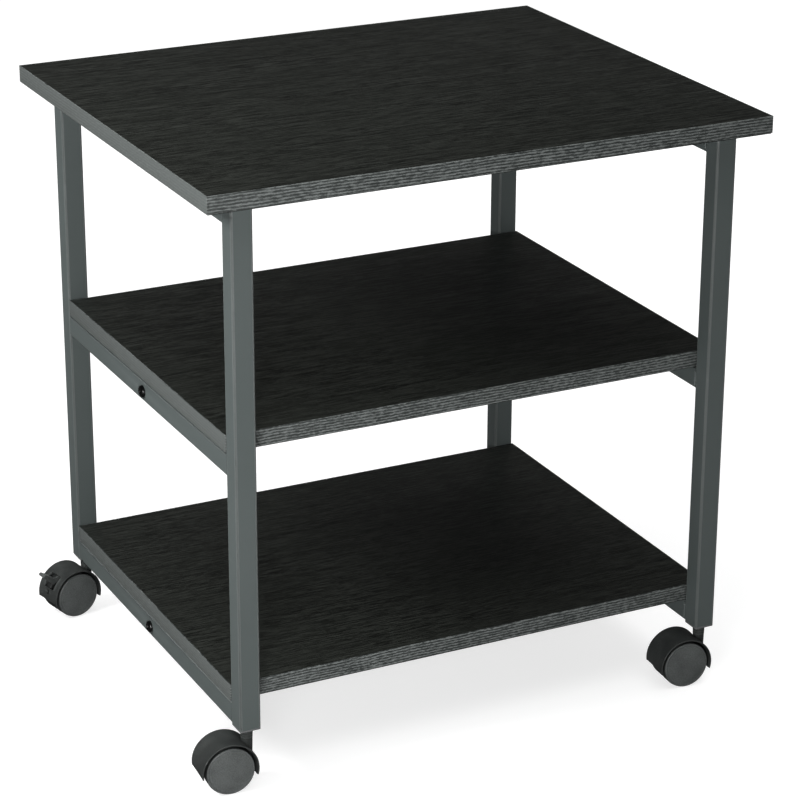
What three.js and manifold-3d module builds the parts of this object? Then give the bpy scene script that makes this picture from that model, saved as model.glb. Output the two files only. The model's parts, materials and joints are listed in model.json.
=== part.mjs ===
// Mobile printer stand: a welded square-tube frame with three boards on four swivel casters,
// the rear pair with brake levers. Millimetres, +Z up, +X to the right, the front faces -Y.
// The origin is on the floor, in the middle of the stand.
import * as THREE from 'three';
import * as BufferGeometryUtils from 'three/addons/utils/BufferGeometryUtils.js';
import Module from 'manifold-3d';

const wasm = await Module();
wasm.setup();

// ---------------------------------------------------------------- driving dimensions
const SEAT_GAP = 0.3; // between pieces that rest on or face each other
const FIT_GAP = 0.3; // round a pin or plug, each side

const TOP_WIDTH = 600;
const TOP_DEPTH = 500;
const BOARD_THICKNESS = 18;
const SIDE_OVERHANG = 30; // top board past the posts, left and right
const END_OVERHANG = 17; // top board past the posts, front and rear
const SHELF_END_GAP = 1.5; // between a shelf and the posts in front of and behind it
const LOWER_PITCH = 262; // lower shelf surface to middle shelf surface
const UPPER_PITCH = 250; // middle shelf surface to top board surface

const TUBE_SIZE = 22;
const TUBE_WALL = 1.2;
const TUBE_CORNER = 2;

const BOLT_RADIUS = 3;
const BOLT_POINT = 0.6; // chamfer at the shank's end
const BOLT_HEAD_RADIUS = 6.2;
const BOLT_HEAD_HEIGHT = 3.4;
const BOLT_HEAD_EDGE = 1.2; // height of the head's straight edge
const BOLT_HEAD_FLAT = 4; // radius of the head's flat end
const BOLT_SOCKET_RADIUS = 2.7;
const BOLT_SOCKET_DEPTH = 2;
const BOLT_REACH = 9; // shank inside the cross bar's end
const BAR_END_PLATE = 5;

const SCREW_RADIUS = 2;
const SCREW_HEAD_RADIUS = 4;
const SCREW_HEAD_FLAT = 2.6;
const SCREW_HEAD_HEIGHT = 2.2;
const SCREW_HEAD_EDGE = 0.9;
const SCREW_BITE = 12; // length inside the board
const SCREW_POINT = 4;
const SCREW_END_DISTANCE = 70; // screw axis from the rail's end

const INSERT_FLANGE = 1.5;
const INSERT_LENGTH = 30;
const INSERT_EDGE = 1.2; // step at the plug's upper end

const STEM_RADIUS = 4;
const STEM_CHAMFER = 0.8;
const STEM_RISE = 24; // above the insert's flange
const STEM_DEPTH = 13.5; // inside the hood's neck
const COLLAR_LIP = 2.4;
const COLLAR_HEIGHT = 1.6;

const CASTER_TRAIL = 22; // stem axis to axle
const WHEEL_RADIUS = 25; // across the flats of the faceted tread
const WHEEL_WIDTH = 14.5;
const WHEEL_CORNER = 2;
const WHEEL_CROWN = 1; // how far the outer face domes out
const WHEEL_SIDE_GAP = 1; // between a wheel and the web
const WHEEL_ROOM = 2; // between the tread and the hood
const AXLE_RADIUS = 2.5;
const AXLE_CAP = 4.5; // wheel material past the axle's end
const AXLE_END_GAP = 1;

const HOOD_WALL = 2;
const HOOD_LIP = 0.5; // hood past the wheel's outer face
const HOOD_REAR_END = -8; // degrees above the axle's level on the trailing side
const HOOD_FRONT_END = 196; // degrees, past the top and down the stem side
const WEB_HALF_THICKNESS = 2;
const WEB_START = 84; // degrees
const BRAKED_WEB_START = 110; // degrees, leaving the lever its room
const AXLE_BOSS_WALL = 3.5;
const NECK_RISE = 5.6; // neck above the hood's crown
const NECK_WALL = 2;
const NECK_TAPER = 0.9;
const NECK_ROOT_RISE = 6; // neck's lower end above the axle

const LEVER_PIVOT_DEPTH = 5; // pivot below the tread, towards the axle
const LEVER_PIVOT_ANGLE = 97;
const LUG_RADIUS = 1.8;
const STALK_WIDTH = 1.4; // bridge that carries the lug
const STALK_SPAN = 30; // degrees from the pivot to the bridge's root
const CLIP_WALL = 1.9;
const CLIP_MOUTH = 150; // degrees of the clip left open round the bridge
const LEVER_SIDE_GAP = 1.4; // between the lever's arm and each wheel
const PAD_LIFT = 0.8; // free pad above the tread
const PAD_THICKNESS = 0.8;
const PAD_SIDE_STEP = 9.5; // pad's end inside the wheel's outer face
const PAD_START = 78; // degrees
const PAD_END = 88; // degrees
const PADDLE_HALF_WIDTH = 5.5;
const PADDLE_LENGTH = 16.3; // outside the hood
const PADDLE_ROOT = 33; // degrees, lower side of its root
const PADDLE_ROOT_SPAN = 13; // degrees
const PADDLE_TIP = 37; // degrees, lower side of its tip
const PADDLE_TIP_SPAN = 2; // degrees
const WINDOW_SIDE_GAP = 3.5; // round the paddle in the hood's window
const WINDOW_BELOW = 12; // degrees of window below the paddle's root
const WINDOW_ABOVE = 10; // degrees of window above it
const PEEP_ANGLE = 13; // small moulding hole below the window
const PEEP_SIZE = 4;

const WHEEL_SIDES = 24;
const ROUND_SIDES = 16;
const SMALL_SIDES = 12;
const SCREW_SIDES = 8;
const CORNER_STEPS = 2;
const ARC_STEP = 12; // degrees, the longest facet of a ring about the axle

// How each caster stands: the turn of its hood about the stem, in degrees. At 0 it trails to -X.
const CASTERS = [
  { name: 'front_left', side: -1, end: -1, turn: -5, brake: false },
  { name: 'front_right', side: 1, end: -1, turn: -4, brake: false },
  { name: 'rear_left', side: -1, end: 1, turn: 12, brake: true },
  { name: 'rear_right', side: 1, end: 1, turn: 168, brake: true },
];

// ---------------------------------------------------------------- dependent sizes
const TREAD_RADIUS = WHEEL_RADIUS / Math.cos(Math.PI / WHEEL_SIDES); // across the tread's corners
const HOOD_INNER_RADIUS = TREAD_RADIUS + WHEEL_ROOM;
const HOOD_RADIUS = HOOD_INNER_RADIUS + HOOD_WALL;
const WHEEL_INNER_FACE = WEB_HALF_THICKNESS + WHEEL_SIDE_GAP;
const WHEEL_OUTER_FACE = WHEEL_INNER_FACE + WHEEL_WIDTH;
const HOOD_HALF_WIDTH = WHEEL_OUTER_FACE + HOOD_LIP;
const AXLE_HALF_LENGTH = WHEEL_OUTER_FACE - AXLE_CAP;
const NECK_TOP_RADIUS = STEM_RADIUS + FIT_GAP + NECK_WALL;

const NECK_TOP = WHEEL_RADIUS + HOOD_RADIUS + NECK_RISE;
const STEM_BOTTOM = NECK_TOP - STEM_DEPTH;
const COLLAR_BOTTOM = NECK_TOP + SEAT_GAP;
const COLLAR_TOP = COLLAR_BOTTOM + COLLAR_HEIGHT;
const FLANGE_BOTTOM = COLLAR_TOP + SEAT_GAP;
const STEM_TOP = FLANGE_BOTTOM + STEM_RISE;
const FRAME_BOTTOM = FLANGE_BOTTOM + INSERT_FLANGE + SEAT_GAP;

const PAD_RADIUS = TREAD_RADIUS + PAD_LIFT;
const LEVER_HALF_THICKNESS = WHEEL_INNER_FACE - LEVER_SIDE_GAP;
const LEVER_PIVOT_RADIUS = WHEEL_RADIUS - LEVER_PIVOT_DEPTH;

const FRAME_WIDTH = TOP_WIDTH - 2 * SIDE_OVERHANG;
const FRAME_DEPTH = TOP_DEPTH - 2 * END_OVERHANG;
const POST_X = (FRAME_WIDTH - TUBE_SIZE) / 2;
const POST_Y = (FRAME_DEPTH - TUBE_SIZE) / 2;
const RAIL_LENGTH = FRAME_DEPTH - 2 * TUBE_SIZE - 2 * SEAT_GAP;
const SHELF_DEPTH = FRAME_DEPTH - 2 * TUBE_SIZE - 2 * SHELF_END_GAP;
const SCREW_Y = RAIL_LENGTH / 2 - SCREW_END_DISTANCE;

const LOWER_BOARD_BOTTOM = FRAME_BOTTOM + TUBE_SIZE + SEAT_GAP;
const MIDDLE_BOARD_BOTTOM = LOWER_BOARD_BOTTOM + LOWER_PITCH;
const TOP_BOARD_BOTTOM = MIDDLE_BOARD_BOTTOM + UPPER_PITCH;
const POST_LENGTH = TOP_BOARD_BOTTOM - SEAT_GAP - FRAME_BOTTOM;

// The levels at which a board rests on a pair of side rails.
const LEVELS = [
  { name: 'lower', board: 'lower_shelf', bottom: LOWER_BOARD_BOTTOM, hasBar: true },
  { name: 'middle', board: 'middle_shelf', bottom: MIDDLE_BOARD_BOTTOM, hasBar: true },
  { name: 'top', board: 'top_board', bottom: TOP_BOARD_BOTTOM, hasBar: false },
];
const SIDES = [{ name: 'left', sign: -1 }, { name: 'right', sign: 1 }];

// ---------------------------------------------------------------- finishes
const finish = (color, roughness, metalness) => ({ color, roughness, metalness });
const LAMINATE = finish(0x1e1f1f, 0.45, 0);
const POWDER_COAT = finish(0x4c5254, 0.5, 0.3);
const DARK_ZINC = finish(0x26282a, 0.35, 0.9);
const BRIGHT_ZINC = finish(0xa9adb0, 0.3, 1);
const HOOD_NYLON = finish(0x2b2d2e, 0.6, 0);
const WHEEL_NYLON = finish(0x3a3d3e, 0.55, 0);
const INSERT_PLASTIC = finish(0x3a3f40, 0.6, 0);

const stand = new THREE.Group();
stand.name = 'mobile_printer_stand';

function addPiece(parent, name, geometry, look) {
  const mesh = new THREE.Mesh(geometry, new THREE.MeshStandardMaterial(look));
  mesh.name = name;
  parent.add(mesh);
  return mesh;
}

// ---------------------------------------------------------------- solids
function toSolid(geometry) {
  const bare = geometry.index ? geometry.toNonIndexed() : geometry.clone();
  bare.deleteAttribute('normal');
  bare.deleteAttribute('uv');
  const merged = BufferGeometryUtils.mergeVertices(bare, 1e-4);
  return new wasm.Manifold(new wasm.Mesh({
    numProp: 3,
    vertProperties: new Float32Array(merged.attributes.position.array),
    triVerts: new Uint32Array(merged.index.array),
  }));
}

function toGeometry(solid) {
  const mesh = solid.getMesh();
  const geometry = new THREE.BufferGeometry();
  geometry.setAttribute('position', new THREE.BufferAttribute(new Float32Array(mesh.vertProperties), 3));
  geometry.setIndex(new THREE.BufferAttribute(new Uint32Array(mesh.triVerts), 1));
  geometry.computeVertexNormals();
  return geometry;
}

const joinAll = (solids) => solids.reduce((whole, part) => whole.add(part));
const cutAll = (solid, tools) => tools.reduce((rest, tool) => rest.subtract(tool), solid);

function roundedSquare(size, corner) {
  const half = size / 2;
  const flat = half - corner;
  const outline = new THREE.Shape();
  outline.absarc(flat, -flat, corner, -Math.PI / 2, 0, false);
  outline.absarc(flat, flat, corner, 0, Math.PI / 2, false);
  outline.absarc(-flat, flat, corner, Math.PI / 2, Math.PI, false);
  outline.absarc(-flat, -flat, corner, Math.PI, 1.5 * Math.PI, false);
  outline.closePath();
  return outline;
}

// A prism of the outline, from z = 0 up.
function prism(outline, height, curveSegments = CORNER_STEPS) {
  return new THREE.ExtrudeGeometry(outline, { depth: height, bevelEnabled: false, curveSegments });
}

// Hollow square tube with open ends, along Z from z = 0.
function squareTube(length) {
  const outline = roundedSquare(TUBE_SIZE, TUBE_CORNER);
  outline.holes.push(roundedSquare(TUBE_SIZE - 2 * TUBE_WALL, TUBE_CORNER - TUBE_WALL));
  return prism(outline, length);
}

// A cylinder between two heights on the Z axis.
function rod(radius, low, high, sides = SMALL_SIDES) {
  const geometry = new THREE.CylinderGeometry(radius, radius, high - low, sides);
  geometry.rotateX(Math.PI / 2);
  geometry.translate(0, 0, (low + high) / 2);
  return geometry;
}

// A turned piece on the Z axis. The profile is a list of [radius, height], from bottom to top.
function turned(profile, sides = SMALL_SIDES) {
  const points = profile.map(([radius, height]) => new THREE.Vector2(radius, height));
  const geometry = new THREE.LatheGeometry(points, sides);
  geometry.rotateX(Math.PI / 2);
  return geometry;
}

// ---------------------------------------------------------------- boards
// One screw stands near each end of each side rail.
const screwPlaces = SIDES.flatMap((side) => [-1, 1].map((end) => ({
  name: `${end < 0 ? 'front' : 'rear'}_${side.name}`,
  x: side.sign * POST_X,
  y: end * SCREW_Y,
})));

// A board with a blind hole over each of its four screws; z = 0 is its underside.
function board(width, depth) {
  const plate = new THREE.BoxGeometry(width, depth, BOARD_THICKNESS);
  plate.translate(0, 0, BOARD_THICKNESS / 2);
  const holes = screwPlaces.map((place) => {
    const hole = rod(SCREW_RADIUS + FIT_GAP, -BOARD_THICKNESS, SCREW_BITE + FIT_GAP);
    hole.translate(place.x, place.y, 0);
    return toSolid(hole);
  });
  return toGeometry(cutAll(toSolid(plate), holes));
}

function addBoards() {
  for (const level of LEVELS) {
    const isTop = level.name === 'top';
    const geometry = isTop ? board(TOP_WIDTH, TOP_DEPTH) : board(FRAME_WIDTH, SHELF_DEPTH);
    addPiece(stand, level.board, geometry, LAMINATE).position.z = level.bottom;
  }
}

// ---------------------------------------------------------------- frame
function addPosts() {
  for (const caster of CASTERS) {
    const post = addPiece(stand, `post_${caster.name}`, squareTube(POST_LENGTH), POWDER_COAT);
    post.position.set(caster.side * POST_X, caster.end * POST_Y, FRAME_BOTTOM);
  }
}

// A side rail along Y, centred on its own axis, with clearance holes for the screws and the bolt.
function sideRail(hasBolt) {
  const tube = squareTube(RAIL_LENGTH);
  tube.translate(0, 0, -RAIL_LENGTH / 2);
  tube.rotateX(Math.PI / 2);
  const tools = [-1, 1].map((end) => {
    const hole = rod(SCREW_RADIUS + FIT_GAP, -TUBE_SIZE, TUBE_SIZE);
    hole.translate(0, end * SCREW_Y, 0);
    return toSolid(hole);
  });
  if (hasBolt) {
    const hole = rod(BOLT_RADIUS + FIT_GAP, -TUBE_SIZE, TUBE_SIZE);
    hole.rotateY(Math.PI / 2);
    tools.push(toSolid(hole));
  }
  return toGeometry(cutAll(toSolid(tube), tools));
}

// A cross bar along X between two side rails: a tube with a tapped plate welded into each end.
function crossBar() {
  const length = FRAME_WIDTH - 2 * TUBE_SIZE - 2 * SEAT_GAP;
  const inside = TUBE_SIZE - 2 * TUBE_WALL;
  const outer = prism(roundedSquare(TUBE_SIZE, TUBE_CORNER), length);
  outer.translate(0, 0, -length / 2);
  outer.rotateY(Math.PI / 2);
  const hollow = new THREE.BoxGeometry(length - 2 * BAR_END_PLATE, inside, inside);
  const tapping = rod(BOLT_RADIUS + FIT_GAP, -length, length);
  tapping.rotateY(Math.PI / 2);
  return toGeometry(cutAll(toSolid(outer), [toSolid(hollow), toSolid(tapping)]));
}

function addRailsAndBars() {
  for (const level of LEVELS) {
    const axisZ = level.bottom - SEAT_GAP - TUBE_SIZE / 2;
    for (const side of SIDES) {
      const rail = addPiece(stand, `${level.name}_rail_${side.name}`, sideRail(level.hasBar), POWDER_COAT);
      rail.position.set(side.sign * POST_X, 0, axisZ);
    }
    if (level.hasBar) {
      addPiece(stand, `${level.name}_cross_bar`, crossBar(), POWDER_COAT).position.z = axisZ;
    }
  }
}

// ---------------------------------------------------------------- fasteners
// Button-head bolt with a hexagon socket: head at +Z, shank down from z = 0.
function socketBolt() {
  const shank = TUBE_SIZE + 2 * SEAT_GAP + BOLT_REACH;
  const body = turned([
    [0, -shank],
    [BOLT_RADIUS - BOLT_POINT, -shank],
    [BOLT_RADIUS, -shank + BOLT_POINT],
    [BOLT_RADIUS, 0],
    [BOLT_HEAD_RADIUS, 0],
    [BOLT_HEAD_RADIUS, BOLT_HEAD_EDGE],
    [BOLT_HEAD_FLAT, BOLT_HEAD_HEIGHT],
    [0, BOLT_HEAD_HEIGHT],
  ], ROUND_SIDES);
  const hexagonSides = 6;
  const socketFloor = BOLT_HEAD_HEIGHT - BOLT_SOCKET_DEPTH;
  const socket = rod(BOLT_SOCKET_RADIUS, socketFloor, 2 * BOLT_HEAD_HEIGHT, hexagonSides);
  return toGeometry(toSolid(body).subtract(toSolid(socket)));
}

// Pan-head board screw: head at -Z, point up; z = 0 is the head's seat.
function boardScrew() {
  const tip = TUBE_SIZE + 2 * SEAT_GAP + SCREW_BITE;
  return turned([
    [0, -SCREW_HEAD_HEIGHT],
    [SCREW_HEAD_FLAT, -SCREW_HEAD_HEIGHT],
    [SCREW_HEAD_RADIUS, -SCREW_HEAD_EDGE],
    [SCREW_HEAD_RADIUS, 0],
    [SCREW_RADIUS, 0],
    [SCREW_RADIUS, tip - SCREW_POINT],
    [0, tip],
  ], SCREW_SIDES);
}

function addFasteners() {
  for (const level of LEVELS) {
    const railBottom = level.bottom - SEAT_GAP - TUBE_SIZE;
    for (const place of screwPlaces) {
      const screw = addPiece(stand, `${level.name}_screw_${place.name}`, boardScrew(), BRIGHT_ZINC);
      screw.position.set(place.x, place.y, railBottom - SEAT_GAP);
    }
    for (const side of level.hasBar ? SIDES : []) {
      const bolt = addPiece(stand, `${level.name}_bolt_${side.name}`, socketBolt(), DARK_ZINC);
      bolt.rotation.y = side.sign * Math.PI / 2;
      bolt.position.set(side.sign * (FRAME_WIDTH / 2 + SEAT_GAP), 0, railBottom + TUBE_SIZE / 2);
    }
  }
}

// ---------------------------------------------------------------- casters
// Caster pieces are drawn in the caster's own frame: the stem on the Z axis, the floor at z = 0,
// the wheels trailing to -X with their axle along Y.
const radians = (angle) => angle * Math.PI / 180;
const axleCentre = new THREE.Vector2();

// A point in the caster's side view, at a radius from the axle and an angle above the trailing side.
function aroundAxle(radius, angle) {
  return new THREE.Vector2(-radius * Math.cos(radians(angle)), radius * Math.sin(radians(angle)));
}

// A side-view outline about the axle, given a thickness along Y.
function slab(outline, halfWidth, curveSegments = CORNER_STEPS) {
  const geometry = prism(outline, 2 * halfWidth, curveSegments);
  geometry.translate(0, 0, -halfWidth);
  geometry.rotateX(Math.PI / 2);
  geometry.translate(-CASTER_TRAIL, 0, WHEEL_RADIUS);
  return geometry;
}

// Part of a ring about the axle, between two angles above the trailing side.
function ringSector(inner, outer, start, end) {
  const steps = Math.ceil((end - start) / ARC_STEP);
  const angles = Array.from({ length: steps + 1 }, (_, i) => start + (end - start) * i / steps);
  const outerPoints = angles.map((angle) => aroundAxle(outer, angle));
  const innerPoints = angles.reverse().map((angle) => aroundAxle(inner, angle));
  return new THREE.Shape([...outerPoints, ...innerPoints]);
}

// The web between the wheels, from the axle out to the hood's wall.
function webSector(start) {
  return ringSector(AXLE_RADIUS, HOOD_RADIUS - HOOD_WALL / 2, start, HOOD_FRONT_END - 1);
}

function discAt(centre, radius) {
  const outline = new THREE.Shape();
  outline.absarc(centre.x, centre.y, radius, 0, 2 * Math.PI, false);
  return outline;
}

const leverPivot = aroundAxle(LEVER_PIVOT_RADIUS, LEVER_PIVOT_ANGLE);
const stalkRoot = aroundAxle(LEVER_PIVOT_RADIUS, LEVER_PIVOT_ANGLE + STALK_SPAN);
const stalkAngle = stalkRoot.clone().sub(leverPivot).angle();

// The round lug that the brake lever turns on, and the bridge that ties it to the web.
function leverLug() {
  const across = new THREE.Vector2(0, STALK_WIDTH / 2).rotateAround(axleCentre, stalkAngle);
  const stalk = new THREE.Shape([
    leverPivot.clone().sub(across),
    stalkRoot.clone().sub(across),
    stalkRoot.clone().add(across),
    leverPivot.clone().add(across),
  ]);
  const lug = slab(discAt(leverPivot, LUG_RADIUS), LEVER_HALF_THICKNESS, SMALL_SIDES);
  return toSolid(lug).add(toSolid(slab(stalk, LEVER_HALF_THICKNESS)));
}

// A cut through the hood's wall, between two angles.
function wallCut(start, end, halfWidth) {
  const margin = HOOD_WALL / 2;
  return toSolid(slab(ringSector(HOOD_INNER_RADIUS - margin, HOOD_RADIUS + margin, start, end), halfWidth));
}

function hood(hasBrake) {
  const shell = ringSector(HOOD_INNER_RADIUS, HOOD_RADIUS, HOOD_REAR_END, HOOD_FRONT_END);
  const neckRoot = WHEEL_RADIUS + NECK_ROOT_RISE;
  const neck = turned([
    [0, neckRoot],
    [NECK_TOP_RADIUS - NECK_TAPER, neckRoot],
    [NECK_TOP_RADIUS, NECK_TOP],
    [0, NECK_TOP],
  ], ROUND_SIDES);
  const wheelRoom = slab(discAt(axleCentre, HOOD_INNER_RADIUS), 2 * HOOD_HALF_WIDTH, WHEEL_SIDES);
  const web = webSector(hasBrake ? BRAKED_WEB_START : WEB_START);
  const boss = discAt(axleCentre, AXLE_RADIUS + FIT_GAP + AXLE_BOSS_WALL);
  const parts = [
    toSolid(slab(shell, HOOD_HALF_WIDTH)),
    toSolid(neck).subtract(toSolid(wheelRoom)),
    toSolid(slab(web, WEB_HALF_THICKNESS)),
    toSolid(slab(boss, WEB_HALF_THICKNESS, SMALL_SIDES)),
  ];
  const axleHole = slab(discAt(axleCentre, AXLE_RADIUS + FIT_GAP), 2 * WEB_HALF_THICKNESS, SMALL_SIDES);
  const tools = [
    toSolid(rod(STEM_RADIUS + FIT_GAP, STEM_BOTTOM - SEAT_GAP, NECK_TOP + NECK_RISE, ROUND_SIDES)),
    toSolid(axleHole),
  ];
  if (hasBrake) {
    parts.push(leverLug());
    const windowEnd = PADDLE_ROOT + PADDLE_ROOT_SPAN + WINDOW_ABOVE;
    tools.push(wallCut(PADDLE_ROOT - WINDOW_BELOW, windowEnd, PADDLE_HALF_WIDTH + WINDOW_SIDE_GAP));
    const halfPeep = PEEP_SIZE / 2;
    const peepSpan = halfPeep / radians(HOOD_RADIUS);
    tools.push(wallCut(PEEP_ANGLE - peepSpan, PEEP_ANGLE + peepSpan, halfPeep));
  }
  return toGeometry(cutAll(joinAll(parts), tools));
}

// A wheel about the Y axis, its web side at -Y. The tread stands on one of its flats.
function wheel() {
  const bore = AXLE_RADIUS + FIT_GAP;
  const boreEnd = AXLE_HALF_LENGTH + AXLE_END_GAP;
  const halfCorner = WHEEL_CORNER / 2;
  const profile = [
    [0, boreEnd],
    [bore, boreEnd],
    [bore, WHEEL_INNER_FACE],
    [TREAD_RADIUS - halfCorner, WHEEL_INNER_FACE],
    [TREAD_RADIUS, WHEEL_INNER_FACE + halfCorner],
    [TREAD_RADIUS, WHEEL_OUTER_FACE - WHEEL_CORNER],
    [TREAD_RADIUS - WHEEL_CORNER, WHEEL_OUTER_FACE],
    [0, WHEEL_OUTER_FACE + WHEEL_CROWN],
  ];
  const points = profile.map(([radius, height]) => new THREE.Vector2(radius, height));
  const geometry = new THREE.LatheGeometry(points, WHEEL_SIDES);
  geometry.rotateY(Math.PI / WHEEL_SIDES);
  return geometry;
}

function axle() {
  return slab(discAt(axleCentre, AXLE_RADIUS), AXLE_HALF_LENGTH, SMALL_SIDES);
}

// The stem stands in the insert and carries a collar just above the hood's neck.
function stem() {
  return turned([
    [0, STEM_BOTTOM],
    [STEM_RADIUS - STEM_CHAMFER, STEM_BOTTOM],
    [STEM_RADIUS, STEM_BOTTOM + STEM_CHAMFER],
    [STEM_RADIUS, COLLAR_BOTTOM],
    [STEM_RADIUS + COLLAR_LIP, COLLAR_BOTTOM],
    [STEM_RADIUS + COLLAR_LIP, COLLAR_TOP],
    [STEM_RADIUS, COLLAR_TOP],
    [STEM_RADIUS, STEM_TOP - STEM_CHAMFER],
    [STEM_RADIUS - STEM_CHAMFER, STEM_TOP],
    [0, STEM_TOP],
  ], ROUND_SIDES);
}

// The insert plugs the post's lower end: a flange under the tube and a body inside it.
function postInsert() {
  const inside = TUBE_SIZE - 2 * TUBE_WALL - 2 * FIT_GAP;
  const corner = TUBE_CORNER - TUBE_WALL;
  const flange = prism(roundedSquare(TUBE_SIZE, TUBE_CORNER), INSERT_FLANGE);
  const body = prism(roundedSquare(inside, corner), INSERT_LENGTH - INSERT_EDGE);
  const tip = prism(roundedSquare(inside - 2 * INSERT_EDGE, corner), INSERT_LENGTH);
  const bore = rod(STEM_RADIUS + FIT_GAP, -INSERT_LENGTH, 2 * INSERT_LENGTH, ROUND_SIDES);
  return toGeometry(joinAll([flange, body, tip].map(toSolid)).subtract(toSolid(bore)));
}

// The clip that grips the hood's lug, open on the side of the lug's bridge.
function leverClip() {
  const inner = LUG_RADIUS + FIT_GAP;
  const start = stalkAngle + radians(CLIP_MOUTH) / 2;
  const end = stalkAngle - radians(CLIP_MOUTH) / 2 + 2 * Math.PI;
  const outline = new THREE.Shape();
  outline.absarc(leverPivot.x, leverPivot.y, inner + CLIP_WALL, start, end, false);
  outline.absarc(leverPivot.x, leverPivot.y, inner, end, start, true);
  outline.closePath();
  return outline;
}

// The arm runs from the clip, under the hood's wall, to the paddle's root in the window.
function leverArm() {
  const clipSide = leverPivot.x - LUG_RADIUS - FIT_GAP - CLIP_WALL / 2;
  const rootTop = PADDLE_ROOT + PADDLE_ROOT_SPAN;
  return new THREE.Shape([
    new THREE.Vector2(clipSide, leverPivot.y - CLIP_WALL),
    new THREE.Vector2(clipSide, leverPivot.y + CLIP_WALL),
    aroundAxle(PAD_RADIUS + PAD_THICKNESS, PAD_END),
    aroundAxle(PAD_RADIUS + PAD_THICKNESS, PAD_START),
    aroundAxle(PAD_RADIUS, rootTop),
    aroundAxle(HOOD_RADIUS, rootTop),
    aroundAxle(HOOD_RADIUS, PADDLE_ROOT),
    aroundAxle(PAD_RADIUS, PADDLE_ROOT),
    aroundAxle(LEVER_PIVOT_RADIUS, rootTop + WINDOW_ABOVE),
  ]);
}

// The brake lever: the clip, the arm with a pad over both treads, and the paddle outside the hood.
function brakeLever() {
  const pad = ringSector(PAD_RADIUS, PAD_RADIUS + PAD_THICKNESS, PAD_START, PAD_END);
  const paddleTip = HOOD_RADIUS + PADDLE_LENGTH;
  const paddleRoot = HOOD_RADIUS - HOOD_WALL / 2;
  const paddle = new THREE.Shape([
    aroundAxle(paddleRoot, PADDLE_ROOT),
    aroundAxle(paddleRoot, PADDLE_ROOT + PADDLE_ROOT_SPAN),
    aroundAxle(paddleTip, PADDLE_TIP + PADDLE_TIP_SPAN),
    aroundAxle(paddleTip, PADDLE_TIP),
  ]);
  return toGeometry(joinAll([
    toSolid(slab(leverClip(), LEVER_HALF_THICKNESS, SMALL_SIDES)),
    toSolid(slab(leverArm(), LEVER_HALF_THICKNESS)),
    toSolid(slab(pad, WHEEL_OUTER_FACE - PAD_SIDE_STEP)),
    toSolid(slab(paddle, PADDLE_HALF_WIDTH)),
  ]));
}

function addCaster(caster) {
  const corner = new THREE.Group();
  corner.position.set(caster.side * POST_X, caster.end * POST_Y, 0);
  stand.add(corner);
  addPiece(corner, `insert_${caster.name}`, postInsert(), INSERT_PLASTIC).position.z = FLANGE_BOTTOM;
  addPiece(corner, `stem_${caster.name}`, stem(), BRIGHT_ZINC);

  const swivel = new THREE.Group();
  swivel.rotation.z = radians(caster.turn);
  corner.add(swivel);
  addPiece(swivel, `hood_${caster.name}`, hood(caster.brake), HOOD_NYLON);
  addPiece(swivel, `axle_${caster.name}`, axle(), BRIGHT_ZINC);
  for (const [letter, turn] of [['a', Math.PI], ['b', 0]]) {
    const piece = addPiece(swivel, `wheel_${caster.name}_${letter}`, wheel(), WHEEL_NYLON);
    piece.position.set(-CASTER_TRAIL, 0, WHEEL_RADIUS);
    piece.rotation.x = turn;
  }
  if (caster.brake) {
    addPiece(swivel, `brake_lever_${caster.name}`, brakeLever(), HOOD_NYLON);
  }
}

addBoards();
addPosts();
addRailsAndBars();
addFasteners();
CASTERS.forEach(addCaster);

export default stand;
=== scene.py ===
import json
import math

import bpy
from mathutils import Matrix, Vector


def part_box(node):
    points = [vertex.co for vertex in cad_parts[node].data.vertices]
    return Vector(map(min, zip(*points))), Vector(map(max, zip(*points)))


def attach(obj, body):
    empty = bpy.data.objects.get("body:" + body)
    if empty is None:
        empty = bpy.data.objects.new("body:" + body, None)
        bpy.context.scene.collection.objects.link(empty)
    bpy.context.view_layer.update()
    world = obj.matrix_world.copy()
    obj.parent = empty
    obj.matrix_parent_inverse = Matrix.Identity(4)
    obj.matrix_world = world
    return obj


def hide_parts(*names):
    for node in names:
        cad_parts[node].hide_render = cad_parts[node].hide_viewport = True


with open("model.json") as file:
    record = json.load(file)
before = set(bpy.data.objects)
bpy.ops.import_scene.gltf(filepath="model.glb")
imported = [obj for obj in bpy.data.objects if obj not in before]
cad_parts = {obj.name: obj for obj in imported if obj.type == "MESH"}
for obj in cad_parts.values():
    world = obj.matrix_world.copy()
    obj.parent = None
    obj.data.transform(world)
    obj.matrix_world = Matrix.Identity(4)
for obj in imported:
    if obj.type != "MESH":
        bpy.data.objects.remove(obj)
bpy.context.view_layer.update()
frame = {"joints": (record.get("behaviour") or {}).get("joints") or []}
jointByName = {joint["name"]: joint for joint in frame["joints"]}
mm = 0.001
fullTurn = 2 * math.pi
xAxis, yAxis, zAxis = 0, 1, 2
corners = ("front_left", "front_right", "rear_left", "rear_right")
levels = ("lower", "middle", "top")


# Selection and edit mode

def deselectAll():
    if bpy.context.mode != "OBJECT":
        bpy.ops.object.mode_set(mode="OBJECT")
    bpy.ops.object.select_all(action="DESELECT")


def pick(*pieces):
    deselectAll()
    for piece in pieces:
        piece.select_set(True)
    bpy.context.view_layer.objects.active = pieces[0]


def nameActive(name):
    piece = bpy.context.active_object
    piece.name = name
    piece.data.name = name
    return piece


def startEdit(piece, kind, part, test):
    # opens the piece in edit mode with only the parts that pass the test selected
    pick(piece)
    bpy.ops.object.mode_set(mode="EDIT")
    bpy.ops.mesh.select_mode(type=kind)
    bpy.ops.mesh.select_all(action="DESELECT")
    bpy.ops.object.mode_set(mode="OBJECT")
    for item in getattr(piece.data, part):
        item.select = test(item)
    bpy.ops.object.mode_set(mode="EDIT")


def editFaces(piece, test):
    startEdit(piece, "FACE", "polygons", test)


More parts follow.
